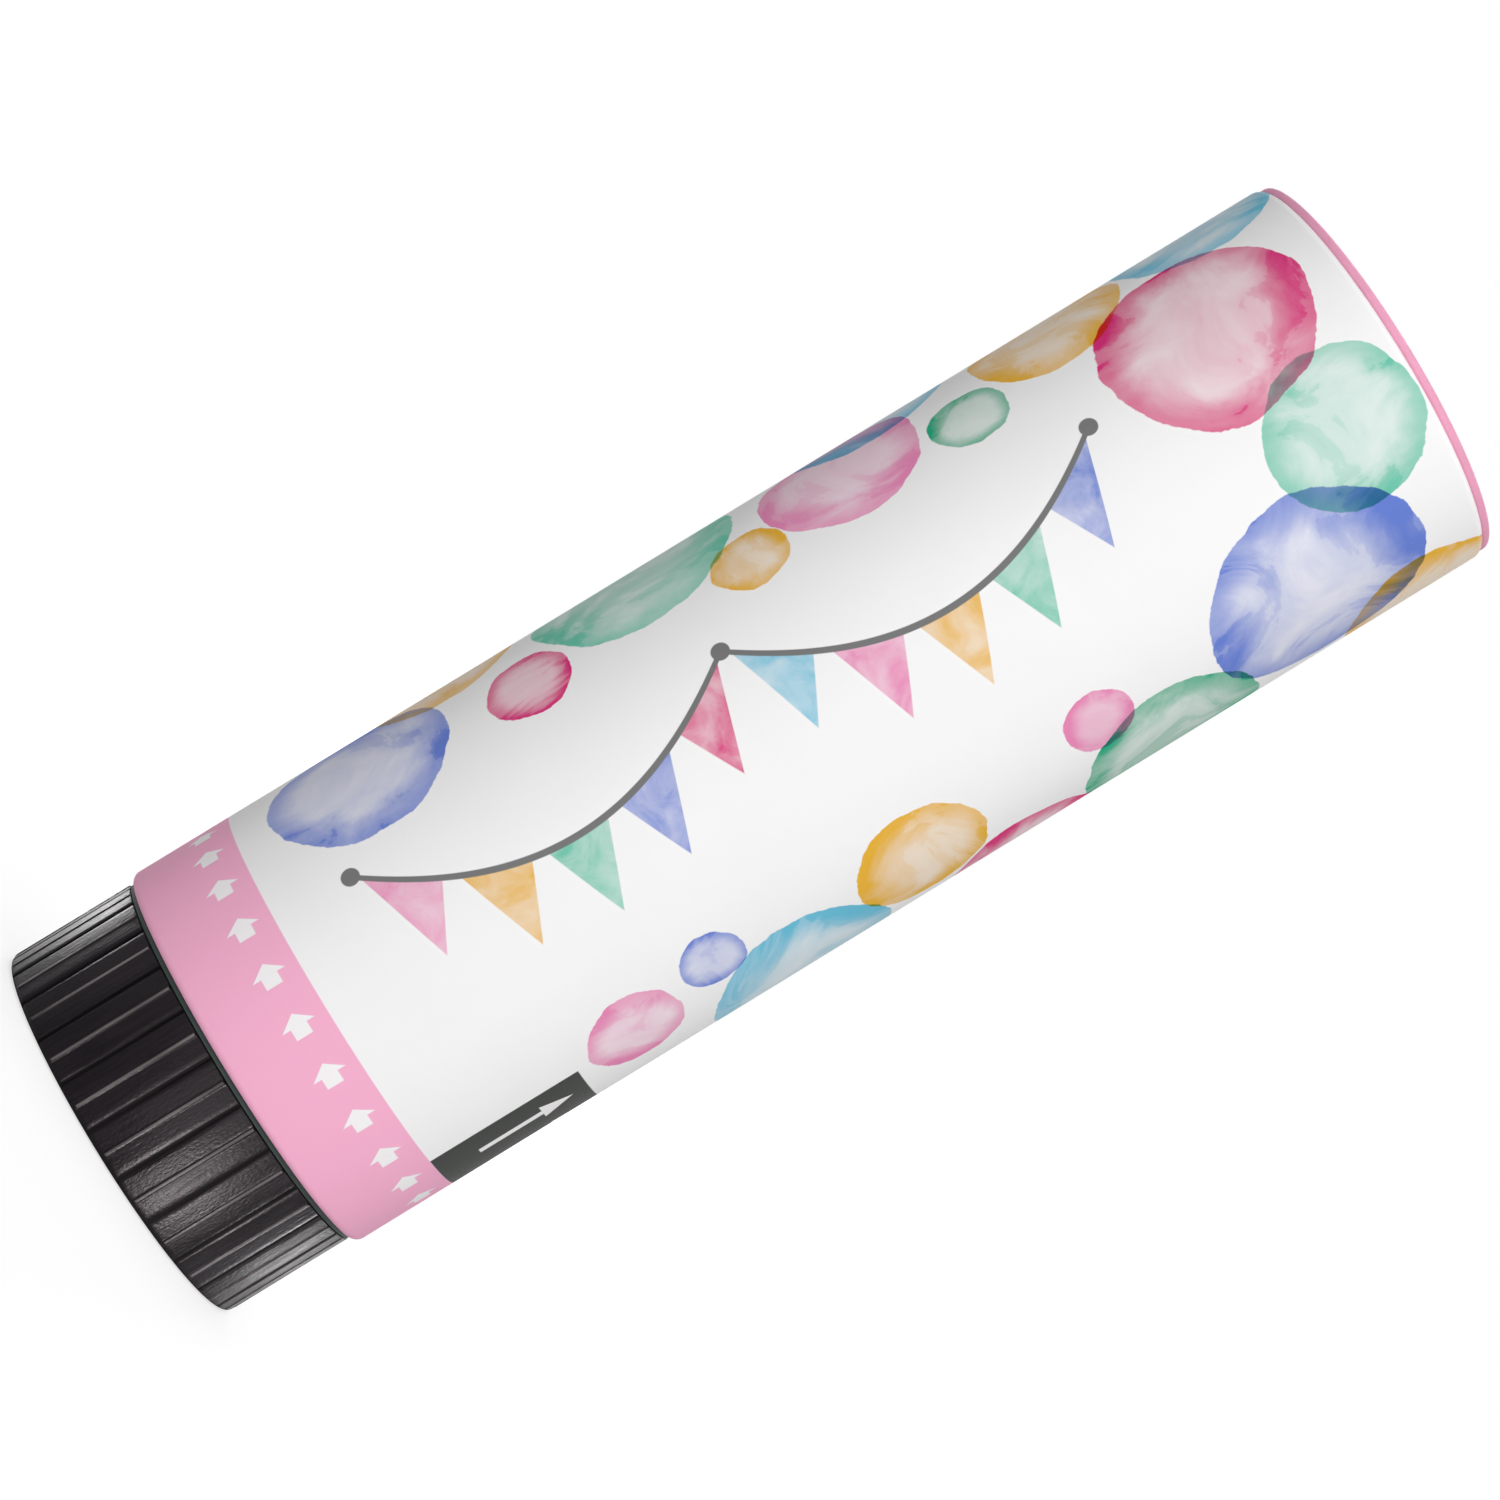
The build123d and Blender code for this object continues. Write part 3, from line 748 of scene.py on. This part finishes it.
def moulded_black(settings):
    """Black polypropylene, injection moulded: a very dark black with a faint violet cast, drawn out of its
    mould along the axis, which leaves satin streaks and a fine grain along the ribs. Fingers have worn the
    crests of the ribs pale, a wear that also stands as a painted highlight along each rib. The grooves are
    dull, and darker with painted shade."""
    streak_width = 0.22
    cloud_width = 3.0
    grain_width = 0.16
    haze_span = (0.15, 0.38)
    # Worn crests, also a painted highlight: depth below the crest, span of the cloud noise and the shares
    # it gives
    crest_highlight_depth = 0.05
    crest_highlight_span = (0.35, 0.6)
    crest_highlight_shares = (0.4, 1)
    # Grooves: edge of their painted shade, how dark that shade is, and how much rougher they are
    groove_edge = 0.01
    painted_groove_shade_level = 0.3
    groove_rough = 0.5
    streak_relief = 0.7
    material, tree, surface = new_material("black_polypropylene_moulded", "BsdfPrincipled", IOR=1.49,
                                           Specular_IOR_Level=0.10, Specular_Tint=linear("FFF4F6"))
    streaks = add(tree, "TexNoise", {"Vector": millimetres(tree, (1, 1, 0.05)), "Scale": 1 / streak_width,
                                     "Detail": 4, "Roughness": 0.6})
    clouds = add(tree, "TexNoise", {"Vector": millimetres(tree, (1, 1, 0.35)), "Scale": 1 / cloud_width,
                                    "Detail": 3})
    grain = add(tree, "TexNoise", {"Vector": millimetres(tree, (1, 1, 0.5)), "Scale": 1 / grain_width,
                                   "Detail": 2})
    haze = add(tree, "Math", (streaks, clouds), operation="MULTIPLY")
    haze = add(tree, "MapRange", (haze, *haze_span, 0, 1))
    tone = add(tree, "Mix", (haze, tuple(settings.black), linear("1E1A1F")), data_type="RGBA")
    across = add(tree, "VectorMath", (millimetres(tree, (1, 1, 0)),), operation="LENGTH", out="Value")
    crest = knob_radius * per_mm
    # Pale crests of the ribs: wear, and also a painted highlight along each rib
    crest_wear_and_highlight = add(tree, "MapRange", (across, crest - crest_highlight_depth, crest, 0, 1), interpolation_type="SMOOTHSTEP")
    worn_highlight = add(tree, "MapRange", (clouds, *crest_highlight_span, *crest_highlight_shares))
    crest_wear_and_highlight = add(tree, "Math", (crest_wear_and_highlight, worn_highlight), operation="MULTIPLY")
    tone = add(tree, "Mix", (crest_wear_and_highlight, tone, tuple(settings.worn_highlight)), data_type="RGBA")
    land = crest - rib_rise * per_mm
    # Painted shade in the grooves: the colour darkens towards the bottom of each groove, which is also made
    # duller
    painted_groove_shade_and_dullness = add(tree, "MapRange", (across, land - groove_depth * per_mm / 2, land - groove_edge, 1, 0))
    painted_groove_shade = tuple(painted_groove_shade_level * level for level in settings.black)
    tone = add(tree, "Mix", (painted_groove_shade_and_dullness, tone, painted_groove_shade), data_type="RGBA")
    relief = add(tree, "Math", (streaks, streak_relief, grain), operation="MULTIPLY_ADD")
    gloss = finish_surface(tree, surface, tone, haze, relief, rough=(0.32, 0.46), strength=0.8, depth=0.04,
                           span=(0, 1))
    dull = add(tree, "Math", (painted_groove_shade_and_dullness, groove_rough, gloss), operation="MULTIPLY_ADD")
    tree.links.new(dull, surface.inputs["Roughness"])
    return material


def flow_marked(name, full, dark, flow_width, swirl, rough, **constants):
    """Moulded polypropylene with marks where the melt flowed and a fine grain from its mould."""
    grain_width = 0.2
    material, tree, surface = new_material(name, "BsdfPrincipled", IOR=1.49, **constants)
    flow = add(tree, "TexNoise", {"Vector": millimetres(tree, (1, 1, 0.5)), "Scale": 1 / flow_width,
                                  "Detail": 3, "Distortion": swirl})
    grain = add(tree, "TexNoise", {"Vector": millimetres(tree), "Scale": 1 / grain_width, "Detail": 2})
    tone = mottled(tree, flow, full, dark)
    finish_surface(tree, surface, tone, flow, grain, rough, strength=0.3, depth=0.02)
    return material


def moulded_grey(settings):
    """Grey polypropylene, injection moulded: dull green-grey, with faint flow marks and a low satin
    gloss."""
    return flow_marked("grey_polypropylene_moulded", settings.grey, dark=0.85, flow_width=4.0, swirl=1.0,
                       rough=(0.5, 0.62), Specular_IOR_Level=0.14)


def moulded_white(settings):
    """Natural polypropylene, injection moulded: milky white, faintly clouded where the melt flowed, with
    a low satin gloss."""
    return flow_marked("natural_polypropylene_moulded", settings.white, dark=0.92, flow_width=5.0,
                       swirl=1.2, rough=(0.36, 0.48))


class POPPER_OT_knob(bpy.types.Operator):
    """Makes the black knob with its ribs, lands and grooves"""
    bl_idname = "popper.knob"
    bl_label = "Twist knob"

    def execute(self, context):
        mesh = grooved_knob()
        piece = finish_mesh(mesh, moulded_black(context.scene.popper_finish), sharp=math.radians(30))
        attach(piece, "knob")
        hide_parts("twist_knob")
        return {"FINISHED"}


class POPPER_OT_plastic(bpy.types.Operator):
    """Finishes the moulded pieces inside: spring seat, pusher and latch stem"""
    bl_idname = "popper.plastic"
    bl_label = "Moulded plastic"

    def execute(self, context):
        settings = context.scene.popper_finish
        grey = moulded_grey(settings)
        white = moulded_white(settings)
        wear("spring_seat", grey)
        for node in ("pusher", "latch_stem"):
            wear(node, white)
        return {"FINISHED"}


# Spring: an unbroken wire, closer wound in its end turns
closed_turns = 1
closed_gap = 0.5 * mm
wire_sides = 14
steps_per_turn = 44


def coil_path(settings):
    """Points along the middle of the wire, each with the direction out from the coil's axis."""
    wire = settings.wire
    radius = spring_high.x - wire / 2
    low = spring_low.z + wire / 2
    high = spring_high.z - wire / 2
    closed_pitch = wire + closed_gap
    open_turns = settings.coil_turns - 2 * closed_turns
    open_pitch = (high - low - 2 * closed_turns * closed_pitch) / open_turns
    path = []
    for step in range(settings.coil_turns * steps_per_turn + 1):
        turn = step / steps_per_turn
        opened = min(max(turn - closed_turns, 0), open_turns)
        height = low + (turn - opened) * closed_pitch + opened * open_pitch
        out = Vector((math.cos(2 * math.pi * turn), math.sin(2 * math.pi * turn), 0))
        path.append((out * radius + Vector((0, 0, height)), out))
    return path


def drawn_steel(settings):
    """Spring steel, cold drawn: bright grey metal with fine lines along the wire and a trace of oil."""
    line_width = 0.12
    oil_width = 2.5
    oil_span = (0.35, 0.65)
    material, tree, surface = new_material("spring_steel_cold_drawn", "BsdfPrincipled", Metallic=1.0)
    lines = add(tree, "TexNoise", {"Vector": millimetres(tree, (0.2, 0.2, 1)), "Scale": 1 / line_width,
                                   "Detail": 3})
    oil = add(tree, "TexNoise", {"Vector": millimetres(tree), "Scale": 1 / oil_width, "Detail": 4})
    shade = add(tree, "MapRange", (oil, *oil_span, 0, 1))
    tone = add(tree, "Mix", (shade, tuple(settings.steel), linear("9A948A")), data_type="RGBA")
    finish_surface(tree, surface, tone, lines, lines, rough=(0.2, 0.36), strength=0.3, depth=0.01)
    return material


class POPPER_OT_spring(bpy.types.Operator):
    """Winds the launch spring, which stretches between its seat and the pusher"""
    bl_idname = "popper.spring"
    bl_label = "Launch spring"

    def execute(self, context):
        settings = context.scene.popper_finish
        points, faces = [], []
        path = coil_path(settings)
        for middle, out in path:
            for side in range(wire_sides):
                angle = 2 * math.pi * side / wire_sides
                offset = out * math.cos(angle) + Vector((0, 0, math.sin(angle)))
                points.append(middle + offset * settings.wire / 2)
        for step in range(len(path) - 1):
            for side in range(wire_sides):
                here = step * wire_sides + side
                beside = step * wire_sides + (side + 1) % wire_sides
                faces.append((here, here + wire_sides, beside + wire_sides, beside))
        faces.append(range(wire_sides))
        faces.append(range(len(points) - 1, len(points) - 1 - wire_sides, -1))
        piece = mesh_piece("wound_spring", points, faces, drawn_steel(settings))
        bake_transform(piece)
        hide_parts("launch_spring")
        return {"FINISHED"}


# Confetti: thin curled slips of tissue, loosely stacked
tissue = {"pink": "F3B0CF", "yellow": "F4D583", "mint": "A5DCC9", "sky": "B5E0EE", "lilac": "A3AFE3",
          "white": "F0EEEC"}
flake_thickness = 0.12 * mm
flake_half = (8.2 * mm, 4.3 * mm)
flake_lengths = (0.62, 1.0)
flake_widths = (0.75, 1.0)
flake_skew = 0.25
flake_cells = (8, 4)
flake_curl = 0.7 * mm
flake_tilt = math.radians(4)
flake_centre = (1.5 * mm, 8.5 * mm)
stack_reach = pusher_high.x - 0.6 * mm
golden_turn = math.radians(137.5)
confetti_seed = 7


def tissue_paper(name):
    """Dyed tissue, calendered: pale flat colour, very matt, with soft creases and thin spots."""
    crease_width = 2.2
    material, tree, surface = new_material("dyed_tissue_" + name, "BsdfPrincipled", IOR=1.45)
    creases = add(tree, "TexNoise", {"Vector": millimetres(tree), "Scale": 1 / crease_width, "Detail": 5,
                                     "Distortion": 0.6})
    tone = mottled(tree, creases, linear(tissue[name]), dark=0.86)
    finish_surface(tree, surface, tone, creases, creases, rough=(0.7, 0.9), strength=0.4, depth=0.08)
    return material


def flake(points, faces, draw, height, turn):
    """Adds one slip to a mesh: a thin closed sheet with a curl across it and a tilt."""
    half_length = flake_half[0] * draw.uniform(*flake_lengths)
    half_width = flake_half[1] * draw.uniform(*flake_widths)
    curl = flake_curl * draw.uniform(-1, 1)
    tilt = Matrix.Rotation(draw.uniform(-flake_tilt, flake_tilt), 3, "X")
    tilt = Matrix.Rotation(draw.uniform(-flake_tilt, flake_tilt), 3, "Y") @ tilt
    skew = draw.uniform(-flake_skew, flake_skew)
    spin = Matrix.Rotation(draw.uniform(-math.pi, math.pi), 3, "Z")
    centre = Vector((0, draw.uniform(*flake_centre), 0))
    place = Matrix.Rotation(turn, 3, "Z")
    along_cells, across_cells = flake_cells
    first = len(points)
    for side in (1, -1):
        for row in range(across_cells + 1):
            for column in range(along_cells + 1):
                along = 2 * column / along_cells - 1
                across = 2 * row / across_cells - 1
                bend = curl * (along + skew * across) ** 2 - curl / 3
                spot = Vector((along * half_length, across * half_width, bend + side * flake_thickness / 2))
                spot = place @ (spin @ tilt @ spot + centre)
                reach = math.hypot(spot.x, spot.y)
                if reach > stack_reach:
                    spot.x *= stack_reach / reach
                    spot.y *= stack_reach / reach
                spot.z = min(max(spot.z + height, wad_high.z + flake_thickness),
                             tube_high.z - flake_thickness)
                points.append(spot)
    columns = along_cells + 1
    under = first + columns * (across_cells + 1)
    face_cell = (0, 1, columns + 1, columns)
    back_cell = (0, columns, columns + 1, 1)
    for row in range(across_cells):
        for column in range(along_cells):
            here = row * columns + column
            faces.append([first + here + corner for corner in face_cell])
            faces.append([under + here + corner for corner in back_cell])
    rim = list(range(columns))
    rim += [row * columns + along_cells for row in range(1, across_cells + 1)]
    rim += [across_cells * columns + column for column in range(along_cells - 1, -1, -1)]
    rim += [row * columns for row in range(across_cells - 1, 0, -1)]
    for here, after in zip(rim, rim[1:] + rim[:1]):
        faces.append((first + here, under + here, under + after, first + after))


class POPPER_OT_confetti(bpy.types.Operator):
    """Fills the tube with curled tissue slips, one mesh for each colour"""
    bl_idname = "popper.confetti"
    bl_label = "Confetti"

    def execute(self, context):
        count = context.scene.popper_finish.flake_count
        draw = random.Random(confetti_seed)
        meshes = {node: ([], []) for node in flake_nodes}
        low = wad_high.z + flake_curl
        high = tube_high.z - flake_curl
        for number in range(count):
            points, faces = meshes[flake_nodes[draw.randrange(len(flake_nodes))]]
            flake(points, faces, draw, between((low, high), (number + 0.5) / count), number * golden_turn)
        for node, (points, faces) in meshes.items():
            name = node.removeprefix("confetti_")
            if not faces:
                raise RuntimeError("no flakes were made for " + node)
            piece = mesh_piece("tissue_flakes_" + name, points, faces, tissue_paper(name))
            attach(piece, "charge")
            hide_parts(node)
        return {"FINISHED"}


# Studio floor, in metres: the glow's share grows over a reach from the foot, as the lamps' light fades
floor_half = 3.0
floor_corners = ((-1, -1), (1, -1), (1, 1), (-1, 1))
floor_drop = 0.1 * mm
floor_glow = 2.2
lit_reach = (0.15, 0.7)
glow_shares = (0.31, 0.46)
# Softboxes by azimuth from the camera towards +X, elevation, distance, width, height and the brightness
# that they give to white paper which faces them
softboxes = {
    "front_box": (8, 22, 0.75, 0.50, 0.50, 0.65),
    "key_box": (54, 14, 0.70, 0.20, 0.20, 0.13),
    "left_box": (-72, 14, 0.70, 0.14, 0.14, 0.05),
    "back_box": (180, 25, 0.75, 0.30, 0.30, 0.50),
    "top_box": (0, 90, 0.75, 0.40, 0.40, 0.22),
}
# Low strips that light the knob's gloss alone, where its facets mirror them
gloss_strips = {
    "right_strip": (44, -3, 0.70, 0.18, 0.036, 2.7),
    "left_strip": (-140, -3, 0.70, 0.12, 0.036, 0.25),
    "rear_strip": (130, -3, 0.70, 0.12, 0.036, 0.3),
}


def seen(tree):
    """1 where a camera, mirror or glass ray looks, so that all of them see the white studio."""
    path = add(tree, "LightPath", out="Is Camera Ray").node.outputs
    reflected = add(tree, "Math", (path["Is Glossy Ray"], path["Is Transmission Ray"]),
                    operation="MAXIMUM")
    return add(tree, "Math", (path["Is Camera Ray"], reflected), operation="MAXIMUM")


def white_floor():
    """Painted board, matt: plain white that keeps the object's shadow. A glow, stronger where the lamps
    don't reach, lets it melt into the background."""
    material, tree, surface = new_material("painted_board_matt", "MixShader")
    paint = add(tree, "BsdfDiffuse", {"Color": linear("C8C8C8")})
    glow = add(tree, "Emission", {"Strength": floor_glow})
    place = add(tree, "TexCoord", out="Object")
    reach = add(tree, "VectorMath", (place,), operation="LENGTH", out="Value")
    share = add(tree, "MapRange", (reach, *lit_reach, *glow_shares), interpolation_type="SMOOTHSTEP")
    share = add(tree, "Math", (seen(tree), share), operation="MULTIPLY")
    for number, source in enumerate((share, paint, glow)):
        tree.links.new(source, surface.inputs[number])
    return material


def aim(obj, target, roll=0.0):
    """Turns a lamp or camera towards a point."""
    view = (target - obj.location).to_track_quat("-Z", "Y").to_matrix()
    obj.rotation_euler = (view @ Matrix.Rotation(roll, 3, "Z")).to_euler()


def softbox(name, azimuth, elevation, distance, width, height, level, glossy=None):
    """A lamp with a plain rectangular face, which may light the gloss of one piece alone."""
    lamp = bpy.data.lights.new(name, "AREA")
    lamp.shape = "RECTANGLE"
    lamp.size = width
    lamp.size_y = height
    lamp.energy = level * (math.pi * distance) ** 2
    obj = bpy.data.objects.new(name, lamp)
    obj.visible_camera = False
    if glossy:
        obj.visible_diffuse = False
        lit = bpy.data.collections.new(name)
        lit.objects.link(glossy)
        obj.light_linking.receiver_collection = lit
    middle = Vector((0, 0, (tube_low.z + tube_high.z) / 2))
    turn, rise = math.radians(azimuth), math.radians(elevation)
    toward = Vector((math.sin(turn) * math.cos(rise), -math.cos(turn) * math.cos(rise), math.sin(rise)))
    obj.location = middle + toward * distance
    aim(obj, middle)
    bpy.context.scene.collection.objects.link(obj)


class POPPER_OT_stage(bpy.types.Operator):
    """Sets up the floor, the white background, the soft lamps and the camera"""
    bl_idname = "popper.stage"
    bl_label = "Studio"

    def execute(self, context):
        scene = context.scene
        settings = scene.popper_stage
        scene.view_settings.view_transform = "Standard"
        floor_height = cad_box[0].z - floor_drop
        corners = [(x * floor_half, y * floor_half, floor_height) for x, y in floor_corners]
        floor = mesh_piece("studio_floor", corners, [(0, 1, 2, 3)], white_floor())

        world = bpy.data.worlds.new("white_studio")
        scene.world = world
        world.use_nodes = True
        tree = world.node_tree
        tree.nodes.clear()
        level = add(tree, "MapRange", (seen(tree), 0, 1, settings.ambient, 1))
        sky = add(tree, "Background", {"Color": (1, 1, 1, 1), "Strength": level})
        add(tree, "OutputWorld", {"Surface": sky})

        for name, places in softboxes.items():
            softbox(name, *places)
        for name, places in gloss_strips.items():
            softbox(name, *places, glossy=bpy.data.objects["grooved_knob"])

        lens = bpy.data.cameras.new("photo_camera")
        lens.lens = settings.lens
        lens.clip_start = settings.distance / 10
        camera = bpy.data.objects.new("photo_camera", lens)
        camera.location = (0, -settings.distance, settings.height)
        aim(camera, Vector((0, 0, settings.aim_height)), settings.roll)
        scene.collection.objects.link(camera)
        scene.camera = camera
        return {"FINISHED"}


class POPPER_PT_panel(bpy.types.Panel):
    """Lists the popper's steps and settings"""
    bl_idname = "POPPER_PT_panel"
    bl_label = "Confetti popper"
    bl_space_type = "VIEW_3D"
    bl_region_type = "UI"
    bl_category = "Popper"

    def draw(self, context):
        for step in steps:
            self.layout.operator(step.bl_idname)
        for name in settings_groups:
            group = getattr(context.scene, name)
            for key in group.bl_rna.properties.keys():
                if key not in ("rna_type", "name"):
                    self.layout.prop(group, key)


settings_groups = {"popper_print": PopperPrint, "popper_finish": PopperFinish, "popper_stage": PopperStage}
steps = (POPPER_OT_knob, POPPER_OT_stage, POPPER_OT_wrap, POPPER_OT_card, POPPER_OT_plastic,
         POPPER_OT_spring, POPPER_OT_confetti)


def register():
    """Makes the settings, the operators and the panel known to Blender."""
    for name, group in settings_groups.items():
        bpy.utils.register_class(group)
        setattr(bpy.types.Scene, name, PointerProperty(type=group))
    for kind in (*steps, POPPER_PT_panel):
        bpy.utils.register_class(kind)


def unregister():
    """Takes them away again."""
    for kind in reversed((*steps, POPPER_PT_panel)):
        bpy.utils.unregister_class(kind)
    for name, group in reversed(settings_groups.items()):
        delattr(bpy.types.Scene, name)
        bpy.utils.unregister_class(group)


def main():
    """Builds every piece and the studio."""
    register()
    bpy.ops.popper.knob()
    bpy.ops.popper.stage()
    bpy.ops.popper.wrap()
    bpy.ops.popper.card()
    bpy.ops.popper.plastic()
    bpy.ops.popper.spring()
    bpy.ops.popper.confetti()


if __name__ == "__main__":
    main()
